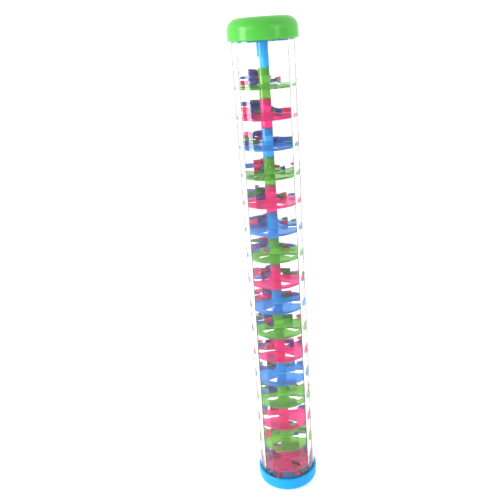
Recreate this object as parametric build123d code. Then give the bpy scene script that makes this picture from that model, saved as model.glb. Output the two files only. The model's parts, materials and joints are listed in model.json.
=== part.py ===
from build123d import *
import math
import os
import random

# Toy rainstick: a clear tube with flats inside, closed by a green and a blue cap. A stack of
# moulded modules stands on a plug inside it, and loose beads trickle through the fan-shaped
# holes in the discs. Millimetres, +Z along the stick, origin at the centre of its base.

# ---- driving dimensions -------------------------------------------------------------------
LENGTH = 400.0                  # overall, cap to cap
TUBE_RADIUS = 24.5              # round outside
FLAT_COUNT = 18                 # flats along the inside of the tube
FLAT_APOTHEM = 22.2             # axis to each flat
FLAT_TURN = -92.0               # direction in which one flat faces the axis, degrees

CAP_RADIUS = 26.25
CAP_LIP = 1.5                   # rounding of a cap's open edge
TOP_CAP_HEIGHT = 16.0
TOP_CAP_SHOULDER = 9.0          # rounding of a cap's closed end
TOP_CAP_END = 6.0               # thickness of a cap's closed end
BOTTOM_CAP_HEIGHT = 12.5
BOTTOM_CAP_SHOULDER = 5.0
BOTTOM_CAP_END = 3.0
GLUE_GAP = 0.05                 # radial gap between pieces that are pushed together
OVERCUT = 1.0                   # how far a cutter reaches past the face it opens
TOLERANCE = 0.001               # for finding edges by radius and height

MODULE_COUNT = 16
MODULE_PITCH = 22.2             # one hub stands on the next
TOP_DISC_Z = 351.1              # middle of the highest disc
DISC_RADIUS = 21.0
DISC_THICKNESS = 1.6
DISC_EDGE = 0.3                 # rounding of the disc's rim
HUB_RADIUS = 4.0
HUB_ABOVE_DISC = 13.4
HUB_ROOT = 0.7                  # fillet where the hub leaves the disc
PIN_RADIUS = 2.0
PIN_LENGTH = 5.0
SOCKET_DEPTH = 5.6
PIN_CHAMFER = 0.4

FAN_COUNT = 3                   # holes in each disc
FAN_WIDTH = 30.0                # opening angle of a fan, degrees
FAN_INNER = 7.0
FAN_OUTER = 17.0
FAN_CORNER = 1.0

POST_RADIUS = 3.9               # the plugs' posts
FLANGE_RADIUS = 21.7
FLANGE_THICKNESS = 2.0
TOP_FLANGE_DROP = 1.0           # how far the top plug's flange reaches below the top cap
COLLAR_WALL = 2.0               # ring that stands on the top plug's flange
TOP_PIN_LENGTH = 8.0            # bare length of the top pin between its post and the first hub
TOP_PIN_RADIUS = 2.3            # the bare pin tapers from this to the other pins' radius

BEAD_RADIUS = 1.9
BEAD_GAP = 0.12                 # least space between two beads, and between a bead and a wall
HEAP_BEADS = 24                 # beads in the heap on a disc of the upper part
LOW_HEAP_BEADS = 18             # beads in the heap on a disc of the lower part
FIRST_LOW_HEAP = 11             # number of the first disc of the lower part
HEAP_SPREAD = 3.3
HEAP_MIDDLES = [(-11.5, 6.5), (-10.5, 8.5), (-12.0, 7.5), (-10.0, 9.5), (-11.0, 8.5)]
STRAY_BEADS = 7                 # beads that lie right of the hub
STRAY_SPREAD = 3.4
STRAY_MIDDLES = [(10.0, 9.0), (9.0, 11.0), (12.0, 8.0), (8.0, 12.0), (11.0, 10.0)]
BOTTOM_BEADS = 88
BOTTOM_MIDDLE = (0.0, 6.0)
BOTTOM_SPREAD = 10.0
TRIES_PER_BEAD = 8
CLEAR_SECTOR_X = 7.6            # no bead lies in this sector, in front of the hub
CLEAR_SECTOR_Y = -6.9

# colour, and direction of the first fan in degrees, of the modules from the top down
COLOURS = ["green", "pink", "blue"] * 4 + ["green", "pink", "green", "pink"]
FAN_TURN = {"green": -150.0, "pink": -60.0, "blue": -120.0}
TURNED_MODULE = 15              # this green module was put in with its fans as the blue ones have


# ---- shapes -------------------------------------------------------------------------------
def rod(radius, low, high):
    """An upright cylinder between two heights."""
    return Pos(0, 0, low) * Cylinder(radius, high - low, align=(Align.CENTER, Align.CENTER, Align.MIN))


def circle_edges_at(shape, radius, height):
    """The circular edges of one radius at one height."""
    edges = shape.edges().filter_by(GeomType.CIRCLE)
    return [e for e in edges
            if abs(e.radius - radius) < TOLERANCE and abs(e.center().Z - height) < TOLERANCE]


def make_tube(low, high):
    flats = RegularPolygon(FLAT_APOTHEM, FLAT_COUNT, major_radius=False)
    turn = FLAT_TURN + 180.0 / FLAT_COUNT
    bore = Pos(0, 0, low - OVERCUT) * Rot(0, 0, turn) * extrude(flats, high - low + 2 * OVERCUT)
    return rod(TUBE_RADIUS, low, high) - bore


def make_cap(height, end, shoulder):
    """A moulded cup, with its closed end at z = 0 and its skirt upward."""
    cap = rod(CAP_RADIUS, 0, height) - rod(TUBE_RADIUS + GLUE_GAP, end, height + OVERCUT)
    cap = fillet(circle_edges_at(cap, CAP_RADIUS, 0), shoulder)
    return fillet(circle_edges_at(cap, CAP_RADIUS, height), CAP_LIP)


def make_fan(turn):
    """A fan-shaped cutter with rounded corners, its middle in the direction turn."""
    half = math.radians(FAN_WIDTH / 2)
    corner = lambda r, a: (r * math.cos(a), r * math.sin(a))
    outline = make_face([
        Line(corner(FAN_INNER, -half), corner(FAN_OUTER, -half)),
        ThreePointArc(corner(FAN_OUTER, -half), (FAN_OUTER, 0), corner(FAN_OUTER, half)),
        Line(corner(FAN_OUTER, half), corner(FAN_INNER, half)),
        ThreePointArc(corner(FAN_INNER, half), (FAN_INNER, 0), corner(FAN_INNER, -half)),
    ])
    outline = fillet(outline.vertices(), FAN_CORNER)
    return Rot(0, 0, turn) * Pos(0, 0, -DISC_THICKNESS) * extrude(outline, 2 * DISC_THICKNESS)


def make_module(fan_turn):
    """Hub, disc and pin in one moulding; the middle of the disc is at z = 0."""
    top = HUB_ABOVE_DISC
    bottom = HUB_ABOVE_DISC - MODULE_PITCH
    half = DISC_THICKNESS / 2
    disc = rod(DISC_RADIUS, -half, half)
    disc = fillet(disc.edges().filter_by(GeomType.CIRCLE), DISC_EDGE)
    module = disc + rod(HUB_RADIUS, bottom, top)
    roots = circle_edges_at(module, HUB_RADIUS, half) + circle_edges_at(module, HUB_RADIUS, -half)
    module = fillet(roots, HUB_ROOT)
    pin = rod(PIN_RADIUS, bottom - PIN_LENGTH, bottom)
    pin = chamfer(circle_edges_at(pin, PIN_RADIUS, bottom - PIN_LENGTH), PIN_CHAMFER)
    module = module + pin - rod(PIN_RADIUS + GLUE_GAP, top - SOCKET_DEPTH, top + OVERCUT)
    for number in range(FAN_COUNT):
        module -= make_fan(fan_turn + number * 360.0 / FAN_COUNT)
    return module


def make_bottom_plug(floor, post_top):
    """Flange on the cap's floor, with a post that takes the pin of the lowest module."""
    plug = rod(FLANGE_RADIUS, floor, floor + FLANGE_THICKNESS) + rod(POST_RADIUS, floor, post_top)
    plug = fillet(circle_edges_at(plug, POST_RADIUS, floor + FLANGE_THICKNESS), HUB_ROOT)
    return plug - rod(PIN_RADIUS + GLUE_GAP, post_top - SOCKET_DEPTH, post_top + OVERCUT)


def make_top_plug(flange_low, hub_top, ceiling):
    """Flange under the top cap, a collar up to the cap, and a post with the pin that holds the stack."""
    collar_low = flange_low + FLANGE_THICKNESS
    plug = rod(FLANGE_RADIUS, flange_low, collar_low)
    inside = rod(FLANGE_RADIUS - COLLAR_WALL, collar_low, ceiling + OVERCUT)
    plug += rod(FLANGE_RADIUS, collar_low, ceiling) - inside
    post_low = hub_top + TOP_PIN_LENGTH
    plug += rod(POST_RADIUS, post_low, flange_low + FLANGE_THICKNESS / 2)
    taper = Cone(PIN_RADIUS, TOP_PIN_RADIUS, TOP_PIN_LENGTH, align=(Align.CENTER, Align.CENTER, Align.MIN))
    plug += Pos(0, 0, hub_top) * taper
    plug += rod(PIN_RADIUS, hub_top - PIN_LENGTH, hub_top)
    return chamfer(circle_edges_at(plug, PIN_RADIUS, hub_top - PIN_LENGTH), PIN_CHAMFER)


# ---- loose beads --------------------------------------------------------------------------
def settle_beads(floor, heaps, seed):
    """Drop beads one by one, each into the lowest of the places it tries, and return their centres.

    Each heap is a count, a middle point and a spread. Beads stay off the hub, the tube's flats
    and the clear sector in front.
    """
    dice = random.Random(seed)
    apart = 2 * BEAD_RADIUS + BEAD_GAP
    nearest = HUB_RADIUS + HUB_ROOT + BEAD_RADIUS + BEAD_GAP
    farthest = FLAT_APOTHEM - BEAD_RADIUS - BEAD_GAP
    centres = []

    def resting_height(x, y):
        height = floor + BEAD_RADIUS + BEAD_GAP
        for cx, cy, cz in centres:
            flat = math.hypot(x - cx, y - cy)
            if flat < apart:
                height = max(height, cz + math.sqrt(apart ** 2 - flat ** 2))
        return height

    for count, middle, spread in heaps:
        for bead in range(count):
            places = []
            while len(places) < TRIES_PER_BEAD:
                x, y = dice.gauss(middle[0], spread), dice.gauss(middle[1], spread)
                in_clear_sector = y < CLEAR_SECTOR_Y and abs(x) < CLEAR_SECTOR_X
                if nearest < math.hypot(x, y) < farthest and not in_clear_sector:
                    places.append((x, y, resting_height(x, y)))
            centres.append(min(places, key=lambda place: place[2]))
    return centres


def make_beads(centres):
    return Compound(children=[Pos(*centre) * Sphere(BEAD_RADIUS) for centre in centres])


# ---- assembly -----------------------------------------------------------------------------
def disc_height(number):
    """Middle of a disc, counted from 1 at the top."""
    return TOP_DISC_Z - (number - 1) * MODULE_PITCH


def heap_centres():
    """Node name to the centres of its beads, one node for each chamber of the stick."""
    heaps = {}
    for number in range(1, MODULE_COUNT + 1):
        place = (number - 1) % len(HEAP_MIDDLES)
        count = HEAP_BEADS if number < FIRST_LOW_HEAP else LOW_HEAP_BEADS
        heap = (count, HEAP_MIDDLES[place], HEAP_SPREAD)
        strays = (STRAY_BEADS, STRAY_MIDDLES[place], STRAY_SPREAD)
        disc_top = disc_height(number) + DISC_THICKNESS / 2
        heaps[f"beads_{number:02d}"] = settle_beads(disc_top, [heap, strays], seed=number)
    pile = (BOTTOM_BEADS, BOTTOM_MIDDLE, BOTTOM_SPREAD)
    heaps["beads_bottom"] = settle_beads(BOTTOM_CAP_END + FLANGE_THICKNESS, [pile], seed=0)
    return heaps


def build_parts():
    floor = BOTTOM_CAP_END
    ceiling = LENGTH - TOP_CAP_END
    top_cap = make_cap(TOP_CAP_HEIGHT, TOP_CAP_END, TOP_CAP_SHOULDER)
    hub_top = TOP_DISC_Z + HUB_ABOVE_DISC
    stack_bottom = disc_height(MODULE_COUNT) + HUB_ABOVE_DISC - MODULE_PITCH
    parts = {
        "clear_tube": make_tube(floor, ceiling),
        "top_cap": Pos(0, 0, LENGTH) * Rot(180, 0, 0) * top_cap,
        "bottom_cap": make_cap(BOTTOM_CAP_HEIGHT, BOTTOM_CAP_END, BOTTOM_CAP_SHOULDER),
        "top_plug": make_top_plug(LENGTH - TOP_CAP_HEIGHT - TOP_FLANGE_DROP, hub_top, ceiling),
        "bottom_plug": make_bottom_plug(floor, stack_bottom),
    }
    for number, colour in enumerate(COLOURS, start=1):
        turn = FAN_TURN["blue" if number == TURNED_MODULE else colour]
        parts[f"module_{number:02d}_{colour}"] = Pos(0, 0, disc_height(number)) * make_module(turn)

    for name, centres in heap_centres().items():
        parts[name] = make_beads(centres)
    return parts


if __name__ == "__main__":
    os.makedirs("parts", exist_ok=True)
    for name, shape in build_parts().items():
        export_step(shape, f"parts/{name}.step")
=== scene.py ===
# %% [markdown]
# # A clear rainstick with coloured discs
# The toy is a clear tube with flat facets inside. A stack of sixteen moulded modules stands in it,
# each a hub with one thin tinted disc, and small round beads trickle from disc to disc. The packed
# model already holds every rigid piece in its true place, so the lesson starts by loading it.

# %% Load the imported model
import bmesh
import bpy
import json
import math
from mathutils import Matrix, Vector


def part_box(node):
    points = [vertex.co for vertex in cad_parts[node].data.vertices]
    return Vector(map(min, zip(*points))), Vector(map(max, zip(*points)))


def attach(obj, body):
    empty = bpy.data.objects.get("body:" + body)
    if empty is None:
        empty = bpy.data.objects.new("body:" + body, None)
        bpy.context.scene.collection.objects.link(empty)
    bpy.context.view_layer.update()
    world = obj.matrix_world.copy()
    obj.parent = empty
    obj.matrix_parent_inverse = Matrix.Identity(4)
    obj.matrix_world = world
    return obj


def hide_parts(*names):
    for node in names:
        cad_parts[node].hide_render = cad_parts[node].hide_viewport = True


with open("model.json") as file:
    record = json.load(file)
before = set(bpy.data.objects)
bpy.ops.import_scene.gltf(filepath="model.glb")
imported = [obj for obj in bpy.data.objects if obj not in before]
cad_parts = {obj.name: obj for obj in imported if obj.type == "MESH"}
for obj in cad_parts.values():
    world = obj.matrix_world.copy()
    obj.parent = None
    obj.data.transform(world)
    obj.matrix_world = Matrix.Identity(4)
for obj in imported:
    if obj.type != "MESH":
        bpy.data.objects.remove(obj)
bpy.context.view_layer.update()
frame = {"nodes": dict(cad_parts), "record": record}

nodes = frame["nodes"]

# %% [markdown]
# Every place below is measured from the frame, so the looks follow the model if its sizes change.
# The tube's inside corners are the only points of its mesh near the bore, and they give the number
# of flats, the distance of the corners from the axis and the way the flats are turned.

# %% Measure the frame
tube_low, tube_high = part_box("clear_tube")
TUBE_RADIUS = (tube_high.x - tube_low.x) / 2
tube_points = [v.co for v in nodes["clear_tube"].data.vertices]
CORNER_RADIUS = min(math.hypot(p.x, p.y) for p in tube_points)
corner_turns = sorted({round(math.atan2(p.y, p.x), 4) for p in tube_points
                       if math.hypot(p.x, p.y) < (CORNER_RADIUS + TUBE_RADIUS) / 2})
FLAT_COUNT = len(corner_turns)
FLAT_TURN = corner_turns[0]
module_names = sorted(n for n in nodes if n.startswith("module_"))
bead_names = sorted(n for n in nodes if n.startswith("beads_"))
print("flats", FLAT_COUNT, "corner radius", round(CORNER_RADIUS, 5), "modules", len(module_names))

# %% [markdown]
# ## Small helpers for node trees
# Both shaders and Geometry Nodes are trees of nodes with links. A few helpers keep the recipes
# readable: add makes a node and fills its sockets, and new_group makes a group with its own sockets.


# %% Node helpers
def add(tree, kind, settings=None, **sockets):
    """Adds a node; settings are its options, sockets its input values or the outputs to link."""
    node = tree.nodes.new(kind)
    for name, value in (settings or {}).items():
        setattr(node, name, value)
    for name, value in sockets.items():
        plug_in(tree, node, name.replace("_", " "), value)
    return node


def plug_in(tree, node, name, value):
    """Fills the input called name, or the input at that place in the list, with a value or a link."""
    socket = node.inputs[int(name)] if name.isdigit() else node.inputs[name]
    if isinstance(value, bpy.types.NodeSocket):
        tree.links.new(value, socket)
    else:
        socket.default_value = value


def math_node(tree, operation, *values):
    inputs = {str(place): value for place, value in enumerate(values)}
    return add(tree, "ShaderNodeMath", {"operation": operation}, **inputs).outputs[0]


def mix_colour(tree, share, first, second):
    """The first colour where share is 0, the second where it is 1."""
    return add(tree, "ShaderNodeMix", {"data_type": "RGBA"},
               **{"0": share, "6": first, "7": second}).outputs[2]


def axis_parts(tree, place):
    """The X, Y and Z outputs of a place."""
    return add(tree, "ShaderNodeSeparateXYZ", Vector=place).outputs


def new_group(name, kind, inputs, outputs):
    """A node group with named sockets; each is (name, socket type, default or None)."""
    tree = bpy.data.node_groups.new(name, kind)
    for direction, sockets in (("INPUT", inputs), ("OUTPUT", outputs)):
        for label, socket_type, default in sockets:
            item = tree.interface.new_socket(label, in_out=direction, socket_type=socket_type)
            if default is not None:
                item.default_value = default
    return tree, tree.nodes.new("NodeGroupInput").outputs, tree.nodes.new("NodeGroupOutput").inputs


# %% [markdown]
# ## Effects that several plastics share
# Moulded plastic is never perfectly even. Its skin has a faint orange peel from the mould and
# hairline scuffs from handling, and its pigment flows in soft clouds. These effects are groups, and
# each material places them with its own values.

# %% Skin of moulded plastic: orange peel and scuffs
FLOAT, COLOUR = "NodeSocketFloat", "NodeSocketColor"
HAIR_SCALE = 900.0
PATCH_SCALE = 60.0


def make_moulded_skin():
    tree, given, out = new_group(
        "moulded_skin", "ShaderNodeTree",
        [("Roughness", FLOAT, 0.15), ("Scuffs", FLOAT, 0.1), ("Peel Scale", FLOAT, 400.0),
         ("Stretch", FLOAT, 1.0)],
        [("Roughness", FLOAT, None), ("Height", FLOAT, None)])
    place = add(tree, "ShaderNodeTexCoord").outputs["Object"]
    along = add(tree, "ShaderNodeCombineXYZ", X=1.0, Y=1.0, Z=given["Stretch"]).outputs[0]
    stretched = add(tree, "ShaderNodeVectorMath", {"operation": "MULTIPLY"}, **{"0": place, "1": along})
    peel = add(tree, "ShaderNodeTexNoise", Vector=stretched.outputs[0], Scale=given["Peel Scale"],
               Detail=2.0, Roughness=0.5).outputs["Fac"]
    hairs = add(tree, "ShaderNodeTexNoise", Vector=place, Scale=HAIR_SCALE, Detail=4.0, Roughness=0.7,
                Distortion=3.0).outputs["Fac"]
    patches = add(tree, "ShaderNodeTexNoise", Vector=place, Scale=PATCH_SCALE, Detail=2.0).outputs["Fac"]
    scuffs = math_node(tree, "MULTIPLY", math_node(tree, "POWER", hairs, 3.0), patches)
    rough = math_node(tree, "MULTIPLY_ADD", scuffs, given["Scuffs"], given["Roughness"])
    tree.links.new(rough, out["Roughness"])
    tree.links.new(peel, out["Height"])
    return tree


moulded_skin = make_moulded_skin()
print("group", moulded_skin.name)


# %% Clouds in the pigment
def make_pigment_clouds():
    tree, given, out = new_group(
        "pigment_clouds", "ShaderNodeTree",
        [("Colour", COLOUR, (0.5, 0.5, 0.5, 1)), ("Deep Colour", COLOUR, (0.3, 0.3, 0.3, 1)),
         ("Cloud Scale", FLOAT, 40.0), ("Amount", FLOAT, 0.3)],
        [("Colour", COLOUR, None)])
    place = add(tree, "ShaderNodeTexCoord").outputs["Object"]
    cloud = add(tree, "ShaderNodeTexNoise", Vector=place, Scale=given["Cloud Scale"], Detail=3.0,
                Distortion=0.6).outputs["Fac"]
    share = math_node(tree, "MULTIPLY", cloud, given["Amount"])
    tree.links.new(mix_colour(tree, share, given["Colour"], given["Deep Colour"]), out["Colour"])
    return tree


pigment_clouds = make_pigment_clouds()
print("group", pigment_clouds.name)


# %% [markdown]
# The discs of a module are thin and its hub is thick, so light takes on a little more of the tint in
# the hub. A third group changes the colour close to the axis, where the hub is.

# %% Depth of tint: discs and hubs
def make_thickness_tint():
    tree, given, out = new_group(
        "thickness_tint", "ShaderNodeTree",
        [("Thin Colour", COLOUR, (1, 1, 1, 1)), ("Thick Colour", COLOUR, (0.5, 0.5, 0.5, 1)),
         ("Hub Radius", FLOAT, 0.004), ("Fade", FLOAT, 0.001)],
        [("Colour", COLOUR, None)])
    part = axis_parts(tree, add(tree, "ShaderNodeTexCoord").outputs["Object"])
    x_squared = math_node(tree, "MULTIPLY", part["X"], part["X"])
    y_squared = math_node(tree, "MULTIPLY", part["Y"], part["Y"])
    reach = math_node(tree, "SQRT", math_node(tree, "ADD", x_squared, y_squared))
    outward = math_node(tree, "DIVIDE", math_node(tree, "SUBTRACT", reach, given["Hub Radius"]),
                        given["Fade"])
    outward.node.use_clamp = True
    tree.links.new(mix_colour(tree, outward, given["Thick Colour"], given["Thin Colour"]), out["Colour"])
    return tree


thickness_tint = make_thickness_tint()
print("group", thickness_tint.name)


# %% [markdown]
# ## The plastics
# A material is a Principled shader that places the groups. Clear and tinted plastic bend light with
# Transmission. Lamps can't find their way through bent glass, so for rays from lamps the same
# plastic acts as a plain filter of its own colour, which keeps the inside of the tube bright.

# %% Material helpers
def new_material(name):
    material = bpy.data.materials.new(name)
    material.use_nodes = True
    tree = material.node_tree
    tree.nodes.clear()
    return material, tree, add(tree, "ShaderNodeOutputMaterial")


def place_group(tree, group, **values):
    node = tree.nodes.new("ShaderNodeGroup")
    node.node_tree = group
    for name, value in values.items():
        plug_in(tree, node, name.replace("_", " "), value)
    return node.outputs


def bumped(tree, height, strength, depth):
    return add(tree, "ShaderNodeBump", Strength=strength, Distance=depth, Height=height).outputs[0]


def let_lamps_through(tree, shader, colour, surface):
    """Sends the shader to the surface, but lamps see a plain filter of that colour."""
    colour_filter = add(tree, "ShaderNodeBsdfTransparent", Color=colour).outputs[0]
    is_lamp_ray = add(tree, "ShaderNodeLightPath").outputs["Is Shadow Ray"]
    mix = add(tree, "ShaderNodeMixShader", **{"0": is_lamp_ray, "1": shader, "2": colour_filter})
    tree.links.new(mix.outputs[0], surface)


# %% Glossy opaque plastic of the caps and plugs
def make_cap_plastic(name, colour, deep_colour):
    material, tree, output = new_material(name)
    skin = place_group(tree, moulded_skin, Roughness=0.20, Scuffs=0.35, Peel_Scale=260.0)
    clouds = place_group(tree, pigment_clouds, Colour=colour, Deep_Colour=deep_colour,
                         Cloud_Scale=55.0, Amount=0.55)
    shader = add(tree, "ShaderNodeBsdfPrincipled", IOR=1.49, Specular_IOR_Level=0.4,
                 Base_Color=clouds["Colour"], Roughness=skin["Roughness"],
                 Normal=bumped(tree, skin["Height"], strength=0.12, depth=0.0004))
    tree.links.new(shader.outputs[0], output.inputs["Surface"])
    return material


green_cap_plastic = make_cap_plastic("green_cap_plastic", (0.15, 0.53, 0.12, 1), (0.11, 0.45, 0.08, 1))
blue_cap_plastic = make_cap_plastic("blue_cap_plastic", (0.03, 0.43, 0.80, 1), (0.02, 0.36, 0.72, 1))
blue_plug_plastic = make_cap_plastic("blue_plug_plastic", (0.02, 0.42, 0.78, 1), (0.01, 0.34, 0.68, 1))
print("opaque plastics", green_cap_plastic.name, blue_cap_plastic.name, blue_plug_plastic.name)


# %% Clear plastic of the tube
def make_clear_plastic():
    material, tree, output = new_material("clear_plastic")
    skin = place_group(tree, moulded_skin, Roughness=0.015, Scuffs=0.12, Peel_Scale=160.0, Stretch=0.04)
    clouds = place_group(tree, pigment_clouds, Colour=(0.99, 0.995, 1.0, 1),
                         Deep_Colour=(0.96, 0.97, 0.99, 1), Cloud_Scale=12.0, Amount=0.5)
    shader = add(tree, "ShaderNodeBsdfPrincipled", IOR=1.5, Transmission_Weight=0.985,
                 Base_Color=clouds["Colour"], Roughness=skin["Roughness"],
                 Normal=bumped(tree, skin["Height"], strength=0.03, depth=0.0002))
    let_lamps_through(tree, shader.outputs[0], (0.95, 0.96, 0.97, 1), output.inputs["Surface"])
    return material


clear_plastic = make_clear_plastic()
print("clear plastic", clear_plastic.name)


# %% Tinted plastic of the modules
HUB_EDGE, HUB_FADE = 0.0042, 0.0012
DEEP_SHARE = 0.8


def make_tinted_plastic(name, thin, thick):
    material, tree, output = new_material(name)
    skin = place_group(tree, moulded_skin, Roughness=0.10, Scuffs=0.25, Peel_Scale=320.0)
    tint = place_group(tree, thickness_tint, Thin_Colour=thin, Thick_Colour=thick,
                       Hub_Radius=HUB_EDGE, Fade=HUB_FADE)
    deeper = [part * DEEP_SHARE for part in thin[:3]] + [1]
    clouds = place_group(tree, pigment_clouds, Colour=tint["Colour"], Deep_Colour=deeper,
                         Cloud_Scale=90.0, Amount=0.25)
    shader = add(tree, "ShaderNodeBsdfPrincipled", IOR=1.5, Transmission_Weight=0.72,
                 Specular_IOR_Level=0.3, Base_Color=clouds["Colour"],
                 Roughness=skin["Roughness"],
                 Normal=bumped(tree, skin["Height"], strength=0.10, depth=0.0003))
    let_lamps_through(tree, shader.outputs[0], clouds["Colour"], output.inputs["Surface"])
    return material


module_plastics = {
    "green": make_tinted_plastic("green_tinted_plastic", (0.20, 0.58, 0.04, 1), (0.24, 0.62, 0.06, 1)),
    "pink": make_tinted_plastic("pink_tinted_plastic", (0.92, 0.01, 0.30, 1), (0.96, 0.03, 0.37, 1)),
    "blue": make_tinted_plastic("blue_tinted_plastic", (0.04, 0.38, 0.82, 1), (0.04, 0.52, 0.88, 1)),
}
print("tinted plastics", *module_plastics)


# %% Plastic of the beads, in four colours
BEAD_GREEN, BEAD_PINK = (0.09, 0.38, 0.08, 1), (0.92, 0.04, 0.24, 1)
BEAD_BLUE, BEAD_PURPLE = (0.05, 0.25, 0.68, 1), (0.20, 0.07, 0.45, 1)
BEAD_COLOURS = [BEAD_GREEN, BEAD_PINK, BEAD_BLUE, BEAD_PURPLE]


def make_bead_plastic():
    material, tree, output = new_material("bead_plastic")
    pick = add(tree, "ShaderNodeAttribute", {"attribute_name": "bead_pick"}).outputs["Fac"]
    ramp = add(tree, "ShaderNodeValToRGB", Fac=pick)
    ramp.color_ramp.interpolation = "CONSTANT"
    stops = ramp.color_ramp.elements
    stops_at_start = len(stops)
    for number, colour in enumerate(BEAD_COLOURS):
        place = number / len(BEAD_COLOURS)
        stop = stops[number] if number < stops_at_start else stops.new(place)
        stop.position, stop.color = place, colour
    clouds = place_group(tree, pigment_clouds, Colour=ramp.outputs[0], Deep_Colour=(0.02, 0.02, 0.05, 1),
                         Cloud_Scale=400.0, Amount=0.3)
    skin = place_group(tree, moulded_skin, Roughness=0.12, Scuffs=0.4, Peel_Scale=900.0)
    shader = add(tree, "ShaderNodeBsdfPrincipled", IOR=1.5, Transmission_Weight=0.5,
                 Base_Color=clouds["Colour"], Roughness=skin["Roughness"],
                 Normal=bumped(tree, skin["Height"], strength=0.15, depth=0.0002))
    let_lamps_through(tree, shader.outputs[0], clouds["Colour"], output.inputs["Surface"])
    return material


bead_plastic = make_bead_plastic()
print("materials", len(bpy.data.materials))

# %% [markdown]
# ## Running a Geometry Nodes recipe
# The tube and the beads follow rules, so Geometry Nodes make them. A recipe is put on a start mesh
# as a modifier, its inputs are set, and its result is kept as a plain mesh.


# %% Apply a recipe
def run_recipe(name, start_mesh, tree, values):
    """The plain mesh that the tree makes from start_mesh, as an object in the scene."""
    start = bpy.data.objects.new(name + "_start", start_mesh)
    bpy.context.scene.collection.objects.link(start)
    modifier = start.modifiers.new("recipe", "NODES")
    modifier.node_group = tree
    sockets = {item.name: item.identifier for item in tree.interface.items_tree if item.in_out == "INPUT"}
    for label, value in values.items():
        modifier[sockets[label]] = value
    ready = start.evaluated_get(bpy.context.evaluated_depsgraph_get())
    mesh = bpy.data.meshes.new_from_object(ready)
    mesh.name = name
    piece = bpy.data.objects.new(name, mesh)
    bpy.context.scene.collection.objects.link(piece)
    bpy.data.objects.remove(start)
    return piece


# %% [markdown]
# ## The clear tube
# The tube is extruded plastic: round outside, with flats along the inside. Each flat with the round
# wall over it works as a weak lens, which stretches the beads and steps the far edges of the discs.
# The recipe draws the two outlines as curves, fills the ring between them and pushes it up. The
# corners between the flats get a small round, as a real die leaves.

# %% Recipe for the tube wall
CORNER_ROUND = 0.00025
CORNER_POINTS = 3
OUTSIDE_POINTS = 240
WELD_DISTANCE = 1e-6
SHARP_ANGLE = math.radians(30)


def make_tube_recipe():
    tree, given, out = new_group(
        "tube_wall", "GeometryNodeTree",
        [("Geometry", "NodeSocketGeometry", None), ("Outer Radius", FLOAT, 0.02),
         ("Corner Radius", FLOAT, 0.018), ("Corner Round", FLOAT, 0.0004),
         ("Flat Count", "NodeSocketInt", 12), ("Flat Turn", FLOAT, 0.0), ("Base", FLOAT, 0.0),
         ("Height", FLOAT, 0.1), ("Material", "NodeSocketMaterial", None)],
        [("Geometry", "NodeSocketGeometry", None)])
    outside = add(tree, "GeometryNodeCurvePrimitiveCircle", Resolution=OUTSIDE_POINTS,
                  Radius=given["Outer Radius"])
    flats = add(tree, "GeometryNodeCurvePrimitiveCircle", Resolution=given["Flat Count"],
                Radius=given["Corner Radius"])
    rounded = add(tree, "GeometryNodeFilletCurve", {"mode": "POLY"}, Curve=flats.outputs["Curve"],
                  Count=CORNER_POINTS, Radius=given["Corner Round"])
    turn = add(tree, "ShaderNodeCombineXYZ", Z=given["Flat Turn"])
    turned = add(tree, "GeometryNodeTransform", Geometry=rounded.outputs[0], Rotation=turn.outputs[0])
    both = tree.nodes.new("GeometryNodeJoinGeometry")
    tree.links.new(outside.outputs["Curve"], both.inputs[0])
    tree.links.new(turned.outputs[0], both.inputs[0])
    ring = add(tree, "GeometryNodeFillCurve", Curve=both.outputs[0])
    rise = add(tree, "ShaderNodeCombineXYZ", Z=given["Height"])
    wall = add(tree, "GeometryNodeExtrudeMesh", Mesh=ring.outputs[0], Offset=rise.outputs[0],
               Offset_Scale=1.0, Individual=False)
    foot = add(tree, "GeometryNodeFlipFaces", Mesh=ring.outputs[0])
    whole = tree.nodes.new("GeometryNodeJoinGeometry")
    tree.links.new(wall.outputs["Mesh"], whole.inputs[0])
    tree.links.new(foot.outputs[0], whole.inputs[0])
    closed = add(tree, "GeometryNodeMergeByDistance", Geometry=whole.outputs[0],
                 Distance=WELD_DISTANCE)
    flat = add(tree, "GeometryNodeSetShadeSmooth", Geometry=closed.outputs[0], Shade_Smooth=False)
    place = axis_parts(tree, add(tree, "GeometryNodeInputPosition").outputs[0])
    facing = axis_parts(tree, add(tree, "GeometryNodeInputNormal").outputs[0])
    outward = math_node(tree, "ADD", math_node(tree, "MULTIPLY", place["X"], facing["X"]),
                        math_node(tree, "MULTIPLY", place["Y"], facing["Y"]))
    half_radius = math_node(tree, "MULTIPLY", given["Outer Radius"], 0.5)
    is_outside = math_node(tree, "GREATER_THAN", outward, half_radius)
    smooth = add(tree, "GeometryNodeSetShadeSmooth", Geometry=flat.outputs[0], Selection=is_outside,
                 Shade_Smooth=True)
    bend = add(tree, "GeometryNodeInputMeshEdgeAngle").outputs["Unsigned Angle"]
    is_rim = math_node(tree, "GREATER_THAN", bend, SHARP_ANGLE)
    crisp = add(tree, "GeometryNodeSetShadeSmooth", {"domain": "EDGE"}, Geometry=smooth.outputs[0],
                Selection=is_rim, Shade_Smooth=False)
    lift = add(tree, "ShaderNodeCombineXYZ", Z=given["Base"])
    placed = add(tree, "GeometryNodeTransform", Geometry=crisp.outputs[0], Translation=lift.outputs[0])
    real = add(tree, "GeometryNodeRealizeInstances", Geometry=placed.outputs[0])
    painted = add(tree, "GeometryNodeSetMaterial", Geometry=real.outputs[0], Material=given["Material"])
    tree.links.new(painted.outputs[0], out["Geometry"])
    return tree


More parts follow.
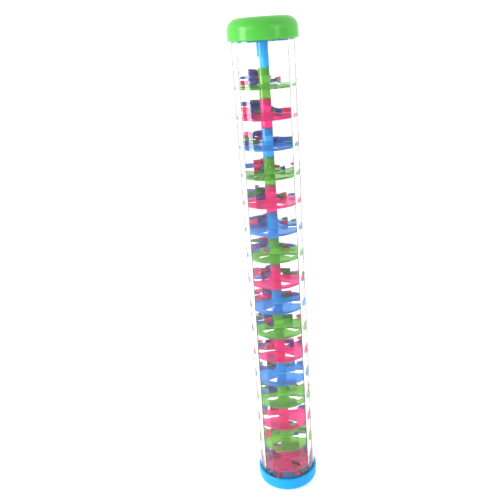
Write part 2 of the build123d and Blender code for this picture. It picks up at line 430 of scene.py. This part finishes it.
tube_wall = run_recipe("tube_wall", bpy.data.meshes.new("tube_start"), make_tube_recipe(), {
    "Outer Radius": TUBE_RADIUS, "Corner Radius": CORNER_RADIUS, "Corner Round": CORNER_ROUND,
    "Flat Count": FLAT_COUNT, "Flat Turn": FLAT_TURN, "Base": tube_low.z,
    "Height": tube_high.z - tube_low.z, "Material": clear_plastic})
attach(tube_wall, "stick")
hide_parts("clear_tube")
print("tube wall faces", len(tube_wall.data.polygons))

# %% [markdown]
# ## The loose beads
# The frame knows where each bead lies: every separate ball in a bead node is one bead. A helper
# reads the middles of those balls, and a recipe puts a moulded bead on each, turned at random, with
# a random number that the bead plastic reads as its colour. Each chamber's beads ride on their own
# body, because they drop together when the stick is turned over.


# %% Middles of the beads in a node
def ball_middles(node):
    """The middle of each separate ball in a CAD node, and the balls' radius."""
    copy = bmesh.new()
    copy.from_mesh(nodes[node].data)
    bmesh.ops.remove_doubles(copy, verts=copy.verts, dist=WELD_DISTANCE)
    unseen, middles, radius = set(copy.verts), [], 0.0
    while unseen:
        ball, edge_of_search = set(), [next(iter(unseen))]
        while edge_of_search:
            point = edge_of_search.pop()
            if point in unseen:
                unseen.discard(point)
                ball.add(point)
                edge_of_search.extend(edge.other_vert(point) for edge in point.link_edges)
        low = Vector(min(p.co[axis] for p in ball) for axis in range(3))
        high = Vector(max(p.co[axis] for p in ball) for axis in range(3))
        middles.append((low + high) / 2)
        radius = max(radius, (high.z - low.z) / 2)
    copy.free()
    return sorted(middles, key=lambda m: (round(m.z, 6), round(m.x, 6), round(m.y, 6))), radius


# %% Recipe for the beads
SMALLEST_BEAD = 0.95
COLOUR_SEED_STEP = 100.0


def random_number(tree, low, high, seed):
    return add(tree, "FunctionNodeRandomValue", {"data_type": "FLOAT"}, Seed=seed,
               **{"2": low, "3": high}).outputs[1]


def make_bead_recipe():
    tree, given, out = new_group(
        "loose_beads", "GeometryNodeTree",
        [("Geometry", "NodeSocketGeometry", None), ("Bead Radius", FLOAT, 0.002),
         ("Seed", "NodeSocketInt", 0), ("Material", "NodeSocketMaterial", None)],
        [("Geometry", "NodeSocketGeometry", None)])
    ball = add(tree, "GeometryNodeMeshIcoSphere", Radius=given["Bead Radius"], Subdivisions=2)
    round_ball = add(tree, "GeometryNodeSetShadeSmooth", Geometry=ball.outputs["Mesh"])
    turn = add(tree, "FunctionNodeRandomValue", {"data_type": "FLOAT_VECTOR"}, Seed=given["Seed"],
               **{"0": (0.0, 0.0, 0.0), "1": (math.tau, math.tau, math.tau)})
    size = random_number(tree, SMALLEST_BEAD, 1.0, given["Seed"])
    beads = add(tree, "GeometryNodeInstanceOnPoints", Points=given["Geometry"],
                Instance=round_ball.outputs[0], Rotation=turn.outputs[0], Scale=size)
    colour_seed = math_node(tree, "ADD", given["Seed"], COLOUR_SEED_STEP)
    pick = random_number(tree, 0.0, 1.0, colour_seed)
    named = add(tree, "GeometryNodeStoreNamedAttribute", {"data_type": "FLOAT", "domain": "INSTANCE"},
                Geometry=beads.outputs[0], Name="bead_pick", Value=pick)
    real = add(tree, "GeometryNodeRealizeInstances", Geometry=named.outputs[0])
    painted = add(tree, "GeometryNodeSetMaterial", Geometry=real.outputs[0], Material=given["Material"])
    tree.links.new(painted.outputs[0], out["Geometry"])
    return tree


bead_recipe = make_bead_recipe()
print("recipe", bead_recipe.name)

# %% Put the beads in their chambers
body_of_node = {node: body for body, members in frame["record"]["behaviour"]["bodies"].items()
                for node in members}
for number, node in enumerate(bead_names):
    middles, bead_radius = ball_middles(node)
    points = bpy.data.meshes.new(node + "_points")
    points.from_pydata(middles, [], [])
    heap = run_recipe("loose_" + node, points, bead_recipe, {
        "Bead Radius": bead_radius, "Seed": number, "Material": bead_plastic})
    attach(heap, body_of_node[node])
    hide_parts(node)
    print(node, "beads", len(middles))

# %% [markdown]
# ## Paint the pieces that keep their CAD shape
# The caps, the plugs and the modules are exact as they are, so they only take their plastics.

# %% Give each CAD piece its plastic
plastics = {"top_cap": green_cap_plastic, "bottom_cap": blue_cap_plastic,
            "top_plug": blue_plug_plastic, "bottom_plug": blue_plug_plastic}
for name in module_names:
    plastics[name] = module_plastics[name.split("_")[-1]]
for name, plastic in plastics.items():
    nodes[name].material_slots[0].material = plastic
print("painted", len(plastics))

# %% [markdown]
# ## Studio
# The stick stands on a plain pale floor. The world is white and stronger behind the stick than in
# front, so the clear plastic is lit from behind and mirrors little. Soft boxes on both sides draw the
# soft window shapes on the caps. The floor glows a little from the stick backwards, which keeps the
# backdrop white.


# %% Floor
FLOOR_HALF = 6.0
FLOOR_DARK, FLOOR_PALE = (0.74, 0.74, 0.74, 1), (0.78, 0.78, 0.78, 1)
WHITE = (1, 1, 1, 1)
GLOW_START, GLOW_FULL, FLOOR_GLOW = -0.35, -0.04, 0.38


def soft_step(tree, value, start, end, low, high):
    """Low before start and high after end, with a soft rise between them."""
    return add(tree, "ShaderNodeMapRange", {"interpolation_type": "SMOOTHSTEP"}, Value=value,
               From_Min=start, From_Max=end, To_Min=low, To_Max=high).outputs[0]


def make_floor():
    material, tree, output = new_material("studio_floor")
    place = add(tree, "ShaderNodeTexCoord").outputs["Object"]
    grain = add(tree, "ShaderNodeTexNoise", Vector=place, Scale=30.0, Detail=3.0).outputs["Fac"]
    tone = mix_colour(tree, grain, FLOOR_DARK, FLOOR_PALE)
    glow = soft_step(tree, axis_parts(tree, place)["Y"], GLOW_START, GLOW_FULL, 0.0, FLOOR_GLOW)
    shader = add(tree, "ShaderNodeBsdfPrincipled", Base_Color=tone, Roughness=0.9,
                 Emission_Color=WHITE, Emission_Strength=glow)
    tree.links.new(shader.outputs[0], output.inputs["Surface"])
    mesh = bpy.data.meshes.new("studio_floor")
    corners = [(-FLOOR_HALF, -FLOOR_HALF, 0), (FLOOR_HALF, -FLOOR_HALF, 0),
               (FLOOR_HALF, FLOOR_HALF, 0), (-FLOOR_HALF, FLOOR_HALF, 0)]
    mesh.from_pydata(corners, [], [(0, 1, 2, 3)])
    mesh.materials.append(material)
    floor = bpy.data.objects.new("studio_floor", mesh)
    bpy.context.scene.collection.objects.link(floor)


make_floor()
print("floor", 2 * FLOOR_HALF, "m wide")


# %% Lamps
def add_soft_box(name, turn, distance, height, width, tall, power, aim_height):
    """A panel that faces the stick's axis, turned from the camera side by that many degrees."""
    lamp = bpy.data.lights.new(name, "AREA")
    lamp.shape, lamp.size, lamp.size_y, lamp.energy = "RECTANGLE", width, tall, power
    panel = bpy.data.objects.new(name, lamp)
    angle = math.radians(turn)
    panel.location = (math.sin(angle) * distance, -math.cos(angle) * distance, height)
    aim = Vector((0, 0, aim_height)) - panel.location
    panel.rotation_euler = aim.to_track_quat("-Z", "Y").to_euler()
    bpy.context.scene.collection.objects.link(panel)


add_soft_box("left_upper_box", turn=-66, distance=0.9, height=0.64, width=0.30, tall=0.24,
             power=2.4, aim_height=0.64)
add_soft_box("left_lower_box", turn=-66, distance=0.9, height=0.28, width=0.30, tall=0.30,
             power=2.6, aim_height=0.28)
add_soft_box("right_box", turn=46, distance=1.1, height=0.50, width=0.28, tall=0.55,
             power=1.8, aim_height=0.50)
add_soft_box("left_key_box", turn=-58, distance=1.3, height=0.90, width=1.20, tall=0.70,
             power=5.0, aim_height=0.2)
add_soft_box("right_key_box", turn=52, distance=1.3, height=0.90, width=1.20, tall=0.70,
             power=4.0, aim_height=0.2)
print("lamps", len(bpy.data.lights))

# %% World and view
BACK_LIGHT, FRONT_LIGHT = 1.1, 0.5
FRONT_END, BACK_START = -0.35, 0.15
VIEW_GAMMA, VIEW_EXPOSURE = 0.75, 0.15
BOUNCES = 32


def make_world():
    """White light from behind the stick, and dimmer light from the camera's side."""
    world = bpy.data.worlds.new("studio_light")
    world.use_nodes = True
    tree = world.node_tree
    tree.nodes.clear()
    way = axis_parts(tree, add(tree, "ShaderNodeTexCoord").outputs["Object"])
    strength = soft_step(tree, way["Y"], FRONT_END, BACK_START, FRONT_LIGHT, BACK_LIGHT)
    light = add(tree, "ShaderNodeBackground", Color=WHITE, Strength=strength)
    tree.links.new(light.outputs[0], add(tree, "ShaderNodeOutputWorld").inputs["Surface"])
    return world


scene = bpy.context.scene
scene.world = make_world()
scene.view_settings.view_transform = "Standard"
scene.view_settings.gamma = VIEW_GAMMA
scene.view_settings.exposure = VIEW_EXPOSURE
scene.cycles.max_bounces = BOUNCES
scene.cycles.transmission_bounces = BOUNCES
scene.cycles.transparent_max_bounces = BOUNCES
scene.cycles.caustics_refractive = True
scene.cycles.caustics_reflective = False
print("world", scene.world.name)

# %% [markdown]
# ## Camera
# The camera stands as high as the stick's top and looks down its length, so the top discs are seen
# nearly edge-on and the lower ones more and more from above.

# %% Place the camera
CAMERA_DISTANCE = 0.4824
CAMERA_HEIGHT = 0.3933
FOCAL_LENGTH = 45.13
LOOK_DOWN, LOOK_LEFT, LEAN = math.radians(19.53), math.radians(2.44), math.radians(-4.15)
UPRIGHT = math.pi / 2
lens = bpy.data.cameras.new("camera")
lens.lens = FOCAL_LENGTH
camera = bpy.data.objects.new("camera", lens)
scene.collection.objects.link(camera)
camera.matrix_world = (Matrix.Translation((0, -CAMERA_DISTANCE, CAMERA_HEIGHT))
                       @ Matrix.Rotation(LOOK_LEFT, 4, "Z")
                       @ Matrix.Rotation(UPRIGHT - LOOK_DOWN, 4, "X")
                       @ Matrix.Rotation(LEAN, 4, "Z"))
scene.camera = camera
print("camera", round(CAMERA_DISTANCE, 3), "m away,", FOCAL_LENGTH, "mm lens")
